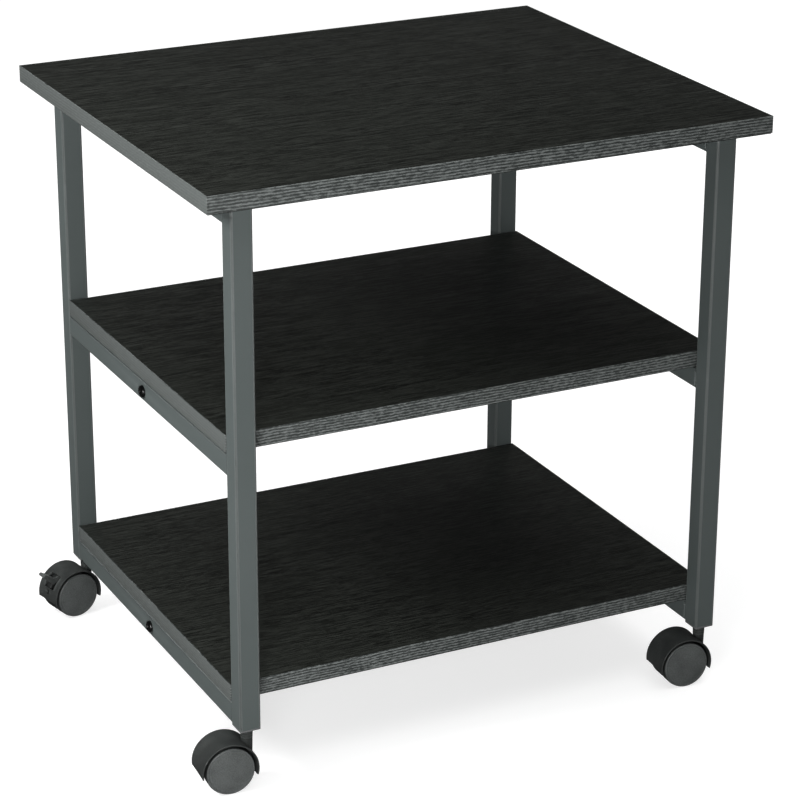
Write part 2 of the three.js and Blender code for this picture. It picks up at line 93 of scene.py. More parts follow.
def editEdges(piece, test):
    points = [vertex.co.copy() for vertex in piece.data.vertices]
    startEdit(piece, "EDGE", "edges", lambda edge: test(*[points[i] for i in edge.vertices]))


def editAll(piece, kind="VERT"):
    pick(piece)
    bpy.ops.object.mode_set(mode="EDIT")
    bpy.ops.mesh.select_mode(type=kind)
    bpy.ops.mesh.select_all(action="SELECT")


def modify(piece, kind, **values):
    pick(piece)
    modifier = piece.modifiers.new(kind, kind)
    for key, value in values.items():
        setattr(modifier, key, value)
    bpy.ops.object.modifier_apply(modifier=modifier.name)


def bevelSharp(piece, width, segments=3, angle=40):
    modify(piece, "BEVEL", width=width, segments=segments, limit_method="ANGLE",
           angle_limit=math.radians(angle))


def settle(piece, matrix=None):
    # moves the piece by the matrix and leaves its place in its mesh
    if matrix is not None:
        piece.matrix_world = matrix
    pick(piece)
    bpy.ops.object.transform_apply(location=True, rotation=True, scale=True)
    return piece


def smooth(piece, angle=32):
    pick(piece)
    bpy.ops.object.shade_smooth_by_angle(angle=math.radians(angle))


def twin(piece, name):
    pick(piece)
    bpy.ops.object.duplicate(linked=False)
    return nameActive(name)


def drop(piece):
    bpy.data.objects.remove(piece)


def joinAs(name, *pieces):
    pick(*pieces)
    if len(pieces) > 1:
        bpy.ops.object.join()
    return nameActive(name)


def cut(piece, tool, operation="DIFFERENCE"):
    modify(piece, "BOOLEAN", object=tool, operation=operation, solver="EXACT")
    drop(tool)


# Starting shapes

def block(name, low, high):
    deselectAll()
    bpy.ops.mesh.primitive_cube_add(size=1, location=(low + high) / 2)
    piece = nameActive(name)
    piece.scale = high - low
    return settle(piece)


def rod(name, start, end, radius, sides=24):
    deselectAll()
    along = end - start
    bpy.ops.mesh.primitive_cylinder_add(vertices=sides, radius=radius, depth=along.length)
    turn = Vector((0, 0, 1)).rotation_difference(along).to_matrix().to_4x4()
    return settle(nameActive(name), Matrix.Translation((start + end) / 2) @ turn)


def trace(name, points, closed=False):
    # one vertex, extruded from point to point
    deselectAll()
    bpy.ops.mesh.primitive_plane_add(size=mm)
    piece = nameActive(name)
    editAll(piece)
    bpy.ops.mesh.merge(type="CENTER")
    bpy.ops.transform.translate(value=points[0])
    for start, end in zip(points, points[1:]):
        bpy.ops.mesh.extrude_vertices_move(TRANSFORM_OT_translate={"value": end - start})
    if closed:
        bpy.ops.mesh.select_all(action="SELECT")
        bpy.ops.mesh.edge_face_add()
    bpy.ops.object.mode_set(mode="OBJECT")
    return piece


def spin(piece, centre, axis, angle, steps):
    # sweeps the piece about an axis, and closes what meets
    editAll(piece)
    bpy.ops.mesh.spin(steps=steps, angle=angle, center=centre, axis=axis)
    bpy.ops.mesh.select_all(action="SELECT")
    bpy.ops.mesh.remove_doubles(threshold=0.002 * mm)
    bpy.ops.mesh.normals_make_consistent(inside=False)
    bpy.ops.object.mode_set(mode="OBJECT")
    return piece


def turned(name, profile, steps=64, axis=zAxis):
    # a profile of (radius, height) in millimetres, spun once round its axis
    if axis == zAxis:
        points = [Vector((radius, 0, height)) * mm for radius, height in profile]
    else:
        points = [Vector((radius, height, 0)) * mm for radius, height in profile]
    direction = Vector((0, 0, 0))
    direction[axis] = 1
    return spin(trace(name, points), Vector((0, 0, 0)), direction, fullTurn, steps)


def extruded(name, outline, halfWidth):
    # a side-view outline, given a thickness along Y
    piece = trace(name, [point - Vector((0, halfWidth, 0)) for point in outline], closed=True)
    editAll(piece, "FACE")
    bpy.ops.mesh.extrude_region_move(TRANSFORM_OT_translate={"value": (0, 2 * halfWidth, 0)})
    bpy.ops.mesh.select_all(action="SELECT")
    bpy.ops.mesh.normals_make_consistent(inside=False)
    bpy.ops.object.mode_set(mode="OBJECT")
    return piece


def fit(piece, body, slot, finish, *nodes):
    piece.data.materials.clear()
    piece.data.materials.append(finish.material)
    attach(piece, body)
    if nodes:
        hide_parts(*nodes)


# Shader nodes as sums

class Signal:  # a socket that plain sums can be done with
    def __init__(self, finish, socket):
        self.finish = finish
        self.socket = socket

    def __add__(self, other):
        return self.finish.reckon("ADD", self, other)

    def __sub__(self, other):
        return self.finish.reckon("SUBTRACT", self, other)

    def __rsub__(self, other):
        return self.finish.reckon("SUBTRACT", other, self)

    def __mul__(self, other):
        return self.finish.reckon("MULTIPLY", self, other)

    __radd__ = __add__
    __rmul__ = __mul__


class Finish:  # a material, and the ways of adding nodes to it
    def __init__(self, name, constants):
        self.material = bpy.data.materials.new(name)
        self.material.use_nodes = True
        self.tree = self.material.node_tree
        self.shader = self.tree.nodes["Principled BSDF"]
        for label, value in constants.items():
            self.shader.inputs[label].default_value = value

    def node(self, kind, settings, inputs, output=0):
        made = self.tree.nodes.new(kind)
        for key, value in settings.items():
            setattr(made, key, value)
        for key, value in inputs.items():
            if isinstance(value, Signal):
                self.tree.links.new(value.socket, made.inputs[key])
            else:
                made.inputs[key].default_value = value
        return Signal(self, made.outputs[output])

    def reckon(self, operation, first, second=0.0):
        return self.node("ShaderNodeMath", {"operation": operation}, {0: first, 1: second})

    def place(self):
        return self.node("ShaderNodeTexCoord", {}, {}, "Object")

    def side(self):
        # 1 where the surface faces left or right, 0 where it faces front or rear
        normal = self.node("ShaderNodeNewGeometry", {}, {}, "Normal")
        facing = self.node("ShaderNodeSeparateXYZ", {}, {0: normal}, "X")
        return self.reckon("ABSOLUTE", facing)

    def corner(self, low, high):
        # 1 on corners that stand out, 0 on flat faces
        sharpness = self.node("ShaderNodeNewGeometry", {}, {}, "Pointiness")
        return self.ease(sharpness, low, high)

    def noise(self, place, grain, detail=2.0, roughness=0.5):
        # grain is the number of marks to the metre along X, Y and Z
        stretched = self.node("ShaderNodeVectorMath", {"operation": "MULTIPLY"}, {0: place, 1: grain})
        return self.node("ShaderNodeTexNoise", {}, {
            "Vector": stretched, "Scale": 1.0, "Detail": detail, "Roughness": roughness})

    def ease(self, value, low, high):
        return self.node("ShaderNodeMapRange", {"interpolation_type": "SMOOTHSTEP"}, {
            "Value": value, "From Min": low, "From Max": high})

    def tint(self, factor, first, second):
        return self.node("ShaderNodeMix", {"data_type": "RGBA"}, {0: factor, 6: first, 7: second}, 2)

    def relief(self, height, depth, under=None):
        inputs = {"Height": height, "Distance": depth, "Strength": 1.0}
        if under:
            inputs["Normal"] = under
        return self.node("ShaderNodeBump", {}, inputs)

    def feed(self, **links):
        labels = {"colour": "Base Color", "roughness": "Roughness", "normal": "Normal"}
        for key, signal in links.items():
            self.tree.links.new(signal.socket, self.shader.inputs[labels[key]])


def grey(value, warm=0.0):
    # a near-neutral colour; warm above 0 leans to brown, below 0 to blue
    return (value * (1 + warm), value, value * (1 - warm), 1.0)


# Finishes

def makeAshLaminate():
    # black ash film: long streaks and fine open pores along X, pressed into the surface
    look = {"dark": (0.0058, 0.0063, 0.0055, 1), "light": (0.0280, 0.0305, 0.0268, 1),
            "pore": (0.0022, 0.0024, 0.0021, 1), "relief": 0.12 * mm}
    finish = Finish("blackAshLaminate", {"Specular IOR Level": 0.3})
    place = finish.place()
    rows = finish.noise(place, (2.5, 300, 300), detail=2.0, roughness=0.7)
    dashes = finish.noise(place, (36, 480, 480), detail=2.0, roughness=0.7)
    fine = finish.noise(place, (140, 1300, 1300), detail=1.5, roughness=0.6)
    plain = finish.ease(finish.noise(place, (7, 26, 26), detail=2.0), 0.36, 0.64)
    grain = dashes * 0.52 + fine * 0.32 + rows * 0.16
    tone = finish.ease(grain, 0.42, 0.60)
    calm = tone * (1 - plain * 0.4) + plain * 0.18
    longPores = finish.noise(place, (5, 620, 620), detail=2.0, roughness=0.6)
    pores = finish.ease(longPores * 0.8 + fine * 0.2, 0.585, 0.645)
    surface = finish.tint(calm, look["dark"], look["light"])
    finish.feed(colour=finish.tint(pores * 0.8, surface, look["pore"]),
                roughness=0.46 - 0.12 * tone + 0.06 * plain,
                normal=finish.relief(tone * 0.7 - pores, look["relief"]))
    return finish


def makeEdgeBand():
    # grained strip: streaks run along each edge, and the end strips are smoother
    look = {"dark": (0.026, 0.030, 0.029, 1), "light": (0.190, 0.205, 0.200, 1),
            "plain": (0.090, 0.099, 0.096, 1), "plainLight": (0.111, 0.121, 0.117, 1),
            "relief": 0.12 * mm, "rowsPerMetre": 345}
    finish = Finish("grainedEdgeBand", {"Specular IOR Level": 0.35})
    place = finish.place()
    height = finish.node("ShaderNodeSeparateXYZ", {}, {0: place}, "Z")
    waver = finish.noise(place, (11, 11, 30), detail=2.0)
    rows = finish.reckon("SINE", height * (2 * math.pi * look["rowsPerMetre"]) + waver * 9) * 0.5 + 0.5
    dashes = finish.noise(place, (190, 190, 640), detail=1.5, roughness=0.65)
    fine = finish.noise(place, (700, 700, 1900), detail=1.0)
    patches = finish.noise(place, (28, 28, 60), detail=2.0)
    grain = rows * 0.17 + dashes * 0.46 + fine * 0.26 + patches * 0.14
    tone = finish.ease(grain, 0.42, 0.66)
    endStrip = finish.side() * 0.94
    streaked = finish.tint(tone, look["dark"], look["light"])
    calm = finish.tint(fine * 0.5 + dashes * 0.5, look["plain"], look["plainLight"])
    finish.feed(colour=finish.tint(endStrip, streaked, calm),
                roughness=0.50 - 0.14 * tone,
                normal=finish.relief(tone * (1 - endStrip * 0.9), look["relief"]))
    return finish


def makePowderCoat():
    # graphite powder coat: orange peel, a fine dry grain, and a painted highlight on the corners
    look = {"dark": (0.074, 0.089, 0.087, 1), "light": (0.096, 0.112, 0.110, 1),
            "corner": (0.27, 0.29, 0.285, 1),
            "peel": 0.035 * mm, "grain": 0.012 * mm}
    finish = Finish("graphitePowderCoat", {"Specular IOR Level": 0.45})
    place = finish.place()
    drift = finish.noise(place, (7, 7, 7), detail=2.0)
    peel = finish.noise(place, (420, 420, 420), detail=1.0)
    grain = finish.noise(place, (2600, 2600, 2600), detail=1.0)
    cover = finish.tint(drift * 0.55 + grain * 0.45, look["dark"], look["light"])
    # painted highlight: sharp corners are lightened towards the light corner colour
    paintedCornerHighlight = finish.corner(0.54, 0.62) * 0.5
    under = finish.relief(peel, look["peel"])
    finish.feed(colour=finish.tint(paintedCornerHighlight, cover, look["corner"]),
                roughness=0.40 + 0.10 * drift + 0.10 * grain - 0.08 * paintedCornerHighlight,
                normal=finish.relief(grain, look["grain"], under))
    return finish


def makeMouldedPlastic(name, dark, light, gloss, grainDepth, edgeHighlightStrength=0.5):
    # spark-textured moulding: fine even grain, a cloudy sheen, and a painted highlight on the corners
    finish = Finish(name, {"Specular IOR Level": 0.5})
    place = finish.place()
    clouds = finish.noise(place, (60, 60, 60), detail=3.0)
    grain = finish.noise(place, (1000, 1000, 1000), detail=3.0, roughness=0.7)
    body = finish.tint(finish.ease(clouds * 0.3 + grain * 0.7, 0.36, 0.66), dark, light)
    # painted highlight: corners and lip edges are lightened up to 2.2 times the light colour
    paintedEdgeHighlight = finish.corner(0.52, 0.60) * edgeHighlightStrength
    finish.feed(colour=finish.tint(paintedEdgeHighlight, body, tuple(2.2 * channel for channel in light[:3]) + (1.0,)),
                roughness=gloss + 0.12 * clouds + 0.08 * grain - 0.08 * paintedEdgeHighlight,
                normal=finish.relief(grain, grainDepth))
    return finish


def makeMetal(name, dark, light, gloss, turning):
    # plated steel: faint tool lines, cloudy plating and a painted highlight on the corners
    finish = Finish(name, {"Metallic": 1.0})
    place = finish.place()
    clouds = finish.noise(place, (240, 240, 240), detail=3.0)
    lines = finish.noise(place, turning, detail=1.0)
    # painted highlight: sharp corners are brightened to give a glint
    paintedCornerGlint = finish.corner(0.54, 0.7) * 0.5
    plating = finish.tint(clouds * 0.7 + lines * 0.3, dark, light)
    bright = tuple(min(1.0, 1.5 * channel) for channel in light[:3]) + (1.0,)
    finish.feed(colour=finish.tint(paintedCornerGlint, plating, bright),
                roughness=gloss + 0.18 * clouds - 0.08 * paintedCornerGlint,
                normal=finish.relief(lines, 0.01 * mm))
    return finish


ashLaminate = makeAshLaminate()
edgeBand = makeEdgeBand()
powderCoat = makePowderCoat()
hoodNylon = makeMouldedPlastic("hoodNylon", (0.020, 0.022, 0.0215, 1), (0.046, 0.0495, 0.048, 1),
                               0.36, 0.06 * mm, edgeHighlightStrength=0.95)
wheelNylon = makeMouldedPlastic("wheelNylon", (0.064, 0.069, 0.068, 1), (0.114, 0.123, 0.121, 1),
                                0.34, 0.07 * mm)
# a much darker nylon, used as painted shade on the wheels' tread and inner side
treadNylon = makeMouldedPlastic("treadNylon", (0.010, 0.011, 0.0108, 1), (0.026, 0.028, 0.0275, 1),
                                0.45, 0.05 * mm)
insertPlastic = makeMouldedPlastic("insertPlastic", grey(0.10, -0.02), grey(0.13, -0.02), 0.4, 0.02 * mm)
brightZinc = makeMetal("brightZinc", grey(0.10, -0.02), grey(0.20, -0.02), 0.32, (300, 300, 2600))
blackSteel = makeMetal("blackOxideSteel", grey(0.03), grey(0.10), 0.24, (900, 900, 900))
print("finishes made:", len(bpy.data.materials))


# Boards: a laminate panel inside a thin band on its four edges

boardMake = {"bandThickness": 1.0 * mm, "bandLift": 1.0 * mm, "bandCorner": 0.8 * mm, "bandEdge": 0.45 * mm,
             "panelEdge": 0.12 * mm, "holeRadius": 2.3 * mm, "holeDepth": 12.3 * mm}


def makeBand(name, low, high):
    # trimmed a little short of the underside, which leaves a thin dark line over the rails
    band = block(name, low + Vector((0, 0, boardMake["bandLift"])), high)
    editFaces(band, lambda face: abs(face.normal.z) > 0.5)
    bpy.ops.mesh.delete(type="FACE")
    editEdges(band, lambda a, b: abs(a.z - b.z) > mm)
    bpy.ops.mesh.bevel(offset=boardMake["bandCorner"], segments=4)
    modify(band, "SOLIDIFY", thickness=boardMake["bandThickness"], offset=-1, use_even_offset=True)
    bevelSharp(band, boardMake["bandEdge"], 3, 60)
    smooth(band)
    return band


def makePanel(name, low, high, holePlaces):
    inset = Vector((boardMake["bandThickness"], boardMake["bandThickness"], 0))
    panel = block(name, low + inset, high - inset)
    bevelSharp(panel, boardMake["panelEdge"], 2)
    drills = [rod("drill", Vector((x, y, low.z - mm)), Vector((x, y, low.z + boardMake["holeDepth"])),
                  boardMake["holeRadius"]) for x, y in holePlaces]
    cut(panel, joinAs("drills", *drills))
    smooth(panel)
    return panel


def screwPlaces(level):
    # where the board's screws stand, as (x, y)
    spots = []
    for corner in corners:
        low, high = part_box(f"{level}_screw_{corner}")
        spots.append(((low.x + high.x) / 2, (low.y + high.y) / 2))
    return spots


for level, node in (("lower", "lower_shelf"), ("middle", "middle_shelf"), ("top", "top_board")):
    low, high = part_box(node)
    fit(makePanel(f"{level}_panel", low, high, screwPlaces(level)), "root", "laminate_board",
        ashLaminate, node)
    fit(makeBand(f"{level}_band", low, high), "root", "edge_band", edgeBand)
print("boards made")


# Frame: square tubes, closed cross bars and the weld beads between rails and posts

tubeMake = {"wall": 1.2 * mm, "corner": 2.0 * mm, "cornerSteps": 6, "cutEdge": 0.2 * mm,
            "flatMargin": 0.5 * mm, "flatArea": 100 * mm * mm, "screwHole": 2.3 * mm,
            "boltHole": 3.3 * mm, "barHoleDepth": 14 * mm}


def roundLongEdges(piece, axis):
    editEdges(piece, lambda a, b: abs(a[axis] - b[axis]) > mm)
    bpy.ops.mesh.bevel(offset=tubeMake["corner"], segments=tubeMake["cornerSteps"])
    # lines beside the rounding keep the corners' painted highlight off the flats
    editFaces(piece, lambda face: face.area > tubeMake["flatArea"])
    bpy.ops.mesh.inset(thickness=tubeMake["flatMargin"], use_individual=True, use_boundary=False)
    bpy.ops.object.mode_set(mode="OBJECT")


def makeTube(name, node, axis):
    low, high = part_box(node)
    tube = block(name, low, high)
    editFaces(tube, lambda face: abs(face.normal[axis]) > 0.5)
    bpy.ops.mesh.delete(type="FACE")
    roundLongEdges(tube, axis)
    modify(tube, "SOLIDIFY", thickness=tubeMake["wall"], offset=-1, use_even_offset=True)
    bevelSharp(tube, tubeMake["cutEdge"], 2, 60)
    return tube


def makeCrossBar(name, node):
    low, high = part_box(node)
    bar = block(name, low, high)
    roundLongEdges(bar, xAxis)
    bevelSharp(bar, tubeMake["cutEdge"], 2, 60)
    centre = (low + high) / 2
    reach = Vector((tubeMake["barHoleDepth"], 0, 0))
    ends = [Vector((low.x, centre.y, centre.z)), Vector((high.x, centre.y, centre.z))]
    drills = [rod("drill", end - reach, end + reach, tubeMake["boltHole"]) for end in ends]
    cut(bar, joinAs("drills", *drills))
    return bar


for corner in corners:
    post = makeTube(f"post_tube_{corner}", f"post_{corner}", zAxis)
    smooth(post)
    fit(post, "root", "powder_coated_steel", powderCoat, f"post_{corner}")

for level in levels:
    for side in ("left", "right"):
        node = f"{level}_rail_{side}"
        rail = makeTube(f"{level}_rail_tube_{side}", node, yAxis)
        low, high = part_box(node)
        drills = [rod("drill", Vector((x, y, low.z - mm)), Vector((x, y, high.z + mm)),
                      tubeMake["screwHole"]) for x, y in screwPlaces(level) if low.x < x < high.x]
        if level != "top":
            height = (low.z + high.z) / 2
            drills.append(rod("drill", Vector((low.x - mm, 0, height)),
                              Vector((high.x + mm, 0, height)), tubeMake["boltHole"]))
        cut(rail, joinAs("drills", *drills))
        smooth(rail)
        fit(rail, "root", "powder_coated_steel", powderCoat, node)

for level in levels[:2]:
    bar = makeCrossBar(f"{level}_bar", f"{level}_cross_bar")
    smooth(bar)
    fit(bar, "root", "powder_coated_steel", powderCoat, f"{level}_cross_bar")

beadMake = {"radius": 1.5, "ripple": 0.22, "pitch": 1.7, "steps": 4, "sides": 12}


def makeBead(name, start, end):
    # a rod of overlapping weld ripples, laid along the corner that it fills
    length = (end - start).length / mm
    count = round(length / beadMake["pitch"]) * beadMake["steps"]
    profile = [(0, 0)]
    for i in range(count + 1):
        swell = abs(math.sin(math.pi * i / beadMake["steps"]))
        profile.append((beadMake["radius"] - beadMake["ripple"] * (1 - swell), length * i / count))
    profile.append((0, length))
    bead = turned(name, profile, beadMake["sides"])
    turn = Vector((0, 0, 1)).rotation_difference(end - start).to_matrix().to_4x4()
    settle(bead, Matrix.Translation(start) @ turn)
    smooth(bead, 50)
    return bead


for level in levels:
    for side, inward in (("left", 1), ("right", -1)):
        low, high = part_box(f"{level}_rail_{side}")
        innerX = high.x if inward > 0 else low.x
        trim = 2 * tubeMake["corner"]
        beads = []
        for endY in (low.y, high.y):
            beads.append(makeBead("bead", Vector((low.x + trim, endY, low.z)),
                                  Vector((high.x - trim, endY, low.z))))
            beads.append(makeBead("bead", Vector((innerX, endY, low.z + trim)),
                                  Vector((innerX, endY, high.z - trim))))
        fit(joinAs(f"{level}_weld_{side}", *beads), "root", "powder_coated_steel", powderCoat)
print("frame made")


# Fasteners

boltMake = {"head": 6.2, "height": 3.4, "edge": 1.1, "flat": 4.1, "seat": 0.3, "shank": 3.0,
            "point": 0.6, "socket": 2.75, "socketDepth": 2.0, "softEdge": 0.12}
screwMake = {"head": 4.0, "height": 2.2, "edge": 0.8, "flat": 2.4, "shank": 2.0, "tip": 4.0,
             "slot": 0.95, "slotReach": 2.1, "slotDepth": 1.4, "firstTurn": 17, "nextTurn": 31}


def quarterCurve(start, end, steps=6):
    # points from start round to end, leaving along the height and arriving along the radius
    points = []
    for i in range(steps + 1):
        turn = math.pi / 2 * i / steps
        points.append((end[0] + (start[0] - end[0]) * math.cos(turn),
                       start[1] + (end[1] - start[1]) * math.sin(turn)))
    return points


def makeBolt():
    low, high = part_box("lower_bolt_left")
    length = (high.x - low.x) / mm - boltMake["height"]
    head = quarterCurve((boltMake["head"], boltMake["edge"]), (boltMake["flat"], boltMake["height"]))
    bolt = turned("bolt", [
        (0, -length), (boltMake["shank"] - boltMake["point"], -length),
        (boltMake["shank"], -length + boltMake["point"]), (boltMake["shank"], 0),
        (boltMake["head"] - boltMake["seat"], 0), (boltMake["head"], boltMake["seat"]), *head,
        (0, boltMake["height"])], 48)
    floor = (boltMake["height"] - boltMake["socketDepth"]) * mm
    socket = rod("socket", Vector((0, 0, floor)), Vector((0, 0, 2 * boltMake["height"] * mm)),
                 boltMake["socket"] * mm, 6)
    cut(bolt, socket)
    bevelSharp(bolt, boltMake["softEdge"] * mm, 2, 50)
    smooth(bolt)
    return bolt


def makeScrew():
    low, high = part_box("lower_screw_front_left")
    length = (high.z - low.z) / mm - screwMake["height"]
    head = quarterCurve((screwMake["head"], -screwMake["edge"]),
                        (screwMake["flat"], -screwMake["height"]), 5)
    screw = turned("screw", [
        (0, length), (screwMake["shank"], length - screwMake["tip"]), (screwMake["shank"], 0),
        (screwMake["head"], 0), *head, (0, -screwMake["height"])], 32)
    reach, half = screwMake["slotReach"] * mm, screwMake["slot"] / 2 * mm
    floor, below = (screwMake["slotDepth"] - screwMake["height"]) * mm, -2 * screwMake["height"] * mm
    cut(screw, block("slot", Vector((-reach, -half, below)), Vector((reach, half, floor))))
    cut(screw, block("slot", Vector((-half, -reach, below)), Vector((half, reach, floor))))
    smooth(screw)
    return screw


boltModel = makeBolt()
for level in levels[:2]:
    for side, sign in (("left", -1), ("right", 1)):
        low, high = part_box(f"{level}_bolt_{side}")
        seat = Vector((low.x + boltMake["height"] * mm if sign < 0 else high.x - boltMake["height"] * mm,
                       (low.y + high.y) / 2, (low.z + high.z) / 2))
        bolt = settle(twin(boltModel, f"{level}_button_bolt_{side}"),
                      Matrix.Translation(seat) @ Matrix.Rotation(sign * math.pi / 2, 4, "Y"))
        fit(bolt, "root", "black_bolt", blackSteel, f"{level}_bolt_{side}")
drop(boltModel)

screwModel = makeScrew()
for level in levels:
    for index, corner in enumerate(corners):
        low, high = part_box(f"{level}_screw_{corner}")
        seat = Vector(((low.x + high.x) / 2, (low.y + high.y) / 2, low.z + screwMake["height"] * mm))
        # no two recesses stop at the same angle
        turn = math.radians(screwMake["firstTurn"] + screwMake["nextTurn"] * index)
        screw = settle(twin(screwModel, f"{level}_pan_screw_{corner}"),
                       Matrix.Translation(seat) @ Matrix.Rotation(turn, 4, "Z"))
        fit(screw, "root", "zinc_steel", brightZinc, f"{level}_screw_{corner}")
drop(screwModel)
print("fasteners made")


# Inserts and stems

insertMake = {"flange": 1.5 * mm, "flangeEdge": 0.3 * mm, "plugStep": 1.5 * mm, "tipStep": 1.2 * mm,
              "tipTaper": 0.88, "bore": 4.3 * mm}
stemMake = {"radius": 4.0, "chamfer": 0.8, "collar": 6.4, "collarLow": 60.116, "collarHigh": 61.716,
            "collarEdge": 0.3, "collarRound": 0.9, "groove": 0.4, "grooveTop": 2.4, "grooveEnd": 4.0,
            "softEdge": 0.1}


def makeInsert(name, node):
    low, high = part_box(node)
    insert = block(name, low, Vector((high.x, high.y, low.z + insertMake["flange"])))
    roundLongEdges(insert, zAxis)
    top = low.z + insertMake["flange"]
    editFaces(insert, lambda face: face.normal.z > 0.9 and abs(face.center.z - top) < 0.01 * mm)
    plugHeight = high.z - top - insertMake["tipStep"]
    bpy.ops.mesh.inset(thickness=insertMake["plugStep"])
    bpy.ops.mesh.extrude_region_move(TRANSFORM_OT_translate={"value": (0, 0, plugHeight)})
    bpy.ops.mesh.extrude_region_move(TRANSFORM_OT_translate={"value": (0, 0, insertMake["tipStep"])})
    bpy.ops.transform.resize(value=(insertMake["tipTaper"], insertMake["tipTaper"], 1))
    bpy.ops.object.mode_set(mode="OBJECT")
    bevelSharp(insert, insertMake["flangeEdge"], 2, 60)
    centre = (low + high) / 2
    cut(insert, rod("bore", Vector((centre.x, centre.y, low.z - mm)),
                    Vector((centre.x, centre.y, high.z + mm)), insertMake["bore"], 48))
    smooth(insert)
    return insert


def makeStem():
    low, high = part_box("stem_front_left")
    bottom, top = low.z / mm, high.z / mm
    radius, chamfer = stemMake["radius"], stemMake["chamfer"]
    rim, lowRim, highRim = stemMake["collar"], stemMake["collarLow"], stemMake["collarHigh"]
    edge, groove = stemMake["collarEdge"], radius - stemMake["groove"]
    grooveTop, grooveEnd = top - stemMake["grooveTop"], top - stemMake["grooveEnd"]
    stem = turned("stem", [
        (0, bottom), (radius - chamfer, bottom), (radius, bottom + chamfer), (radius, lowRim),
        (rim - edge, lowRim), (rim, lowRim + edge), (rim, highRim - 0.5), (rim - 0.5, highRim - edge),
        (rim - stemMake["collarRound"], highRim), (radius, highRim), (radius, grooveEnd),
        (groove, grooveEnd + 0.2), (groove, grooveTop - 0.2), (radius, grooveTop),
        (radius, top - chamfer), (radius - chamfer, top), (0, top)], 48)
    bevelSharp(stem, stemMake["softEdge"] * mm, 2, 30)
    smooth(stem)
    return stem


stemModel = makeStem()
for corner in corners:
    anchor = Vector(jointByName[f"swivel_{corner}"]["pos_m"])
    fit(makeInsert(f"post_insert_{corner}", f"insert_{corner}"), "root", "insert_plastic",
        insertPlastic, f"insert_{corner}")
    stem = settle(twin(stemModel, f"collar_stem_{corner}"), Matrix.Translation((anchor.x, anchor.y, 0)))
    fit(stem, "root", "zinc_steel", brightZinc, f"stem_{corner}")
drop(stemModel)
print("inserts and stems made")


# Casters, drawn with the stem on the Z axis and the wheels trailing to -X

casterMake = {"trail": 22.0, "axleHeight": 25.0}
hoodMake = {"inner": 27.2, "outer": 29.2, "skin": 28.95, "mouth": 27.9, "halfWidth": 18.0, "lip": 1.5,
            "lipEdge": 0.4, "rear": -8.0, "front": 196.0, "web": 2.0, "webBore": 1.2,
            "webStart": 84.0, "brakedWebStart": 110.0, "bore": 4.3, "axleBore": 2.8, "boss": 6.3,
            "bossHalf": 2.3, "boreFloor": 46.0, "neckTop": 59.8}
# the neck's outline as (radius, depth below its top): three rings with grooves between them
neckOutline = [(5.9, 9.2), (5.6, 8.9), (5.6, 8.4), (6.0, 8.1), (6.05, 6.4), (5.7, 6.1), (5.7, 5.6),
               (6.1, 5.3), (6.15, 3.6), (5.8, 3.3), (5.8, 2.8), (6.3, 2.4), (6.3, 0.5), (6.15, 0.15),
               (5.8, 0)]
windowMake = {"start": 21.0, "end": 56.0, "halfWidth": 9.0, "corner": 1.2, "inner": 26, "outer": 31,
              "peep": 12.5, "peepHalf": 1.8, "peepTall": 2.9}
wheelMake = {"radius": 25.0, "inner": 3.0, "outer": 17.5, "crown": 18.5, "domeRadius": 21.9,
             "domeFall": 1.35, "domeSteps": 14, "shoulder": 1.4, "bore": 2.8, "boreEnd": 14.0, "hub": 8.0}
# the wheel's outlines: the rim as (radius, depth below the outer face), the tread and the back as
# (radius, height over the inner face)
rimOutline = [(22.0, 0.75), (22.15, 0.85), (22.45, 0.85), (22.6, 0.7), (22.7, 0.15)]
treadOutline = [(25.0, 7.2), (24.88, 7.1), (24.88, 6.9), (25.0, 6.8), (25.0, 1.8), (24.75, 0.9),
                (24.1, 0.25), (23.2, 0)]
backOutline = [(22.6, 0), (22.2, 0.4), (22.0, 3.5), (8.4, 3.5), (8.0, 0.4), (7.6, 0), (3.2, 0), (2.8, 0.4)]
axleMake = {"radius": 2.5, "halfLength": 13.0, "chamfer": 0.4}
leverMake = {"pivotRadius": 20.0, "pivotAngle": 97.0, "lug": 1.8, "gap": 0.3, "clip": 1.9,
             "half": 1.6, "padRadius": 26.0, "pad": 0.8, "padHalf": 8.0, "padStart": 78.0,
             "padEnd": 88.0, "root": 33.0, "rootTop": 46.0, "tip": 37.0, "tipTop": 42.0,
             "tipRadius": 45.5, "paddleRoot": 28.2, "paddleHalf": 5.5, "stalkTurn": 30.0,
             "clipMouth": 75.0, "clipArc": 210.0, "rib": 0.42, "ribInset": 1.4}
# the arm from the clip out to the paddle's root and back, as (radius, angle) about the axle
armOutline = [(26.8, 88), (26.8, 85), (26.8, 82), (26.8, 78), (26.7, 70), (26.7, 62), (26.7, 54),
              (26.9, 48), (29, 46), (29, 33), (26.1, 33), (24.4, 38), (22.6, 45), (20.8, 56), (19.2, 72)]
axleCentre = Vector((-casterMake["trail"], 0, casterMake["axleHeight"])) * mm
alongAxle = Vector((0, 1, 0))


def aroundAxle(radius, angle, y=0.0):
    # a point at a radius from the axle and an angle above the trailing side
    turn = math.radians(angle)
    return axleCentre + Vector((-radius * math.cos(turn), y, radius * math.sin(turn))) * mm


def sector(name, profile, start, end, steps):
    # a closed (radius, y) profile swept about the axle from one angle to another
    piece = trace(name, [aroundAxle(radius, start, y) for radius, y in profile], closed=True)
    return spin(piece, axleCentre, -alongAxle, math.radians(end - start), steps)


def crossSection(inner, outer, halfWidth):
    # a rectangle of (radius, y), for sector or spin
    return [(inner, -halfWidth), (outer, -halfWidth), (outer, halfWidth), (inner, halfWidth)]


def disc(name, radius, halfWidth, sides):
    # a flat round about the axle
    across = Vector((0, halfWidth, 0)) * mm
    return rod(name, axleCentre - across, axleCentre + across, radius * mm, sides)


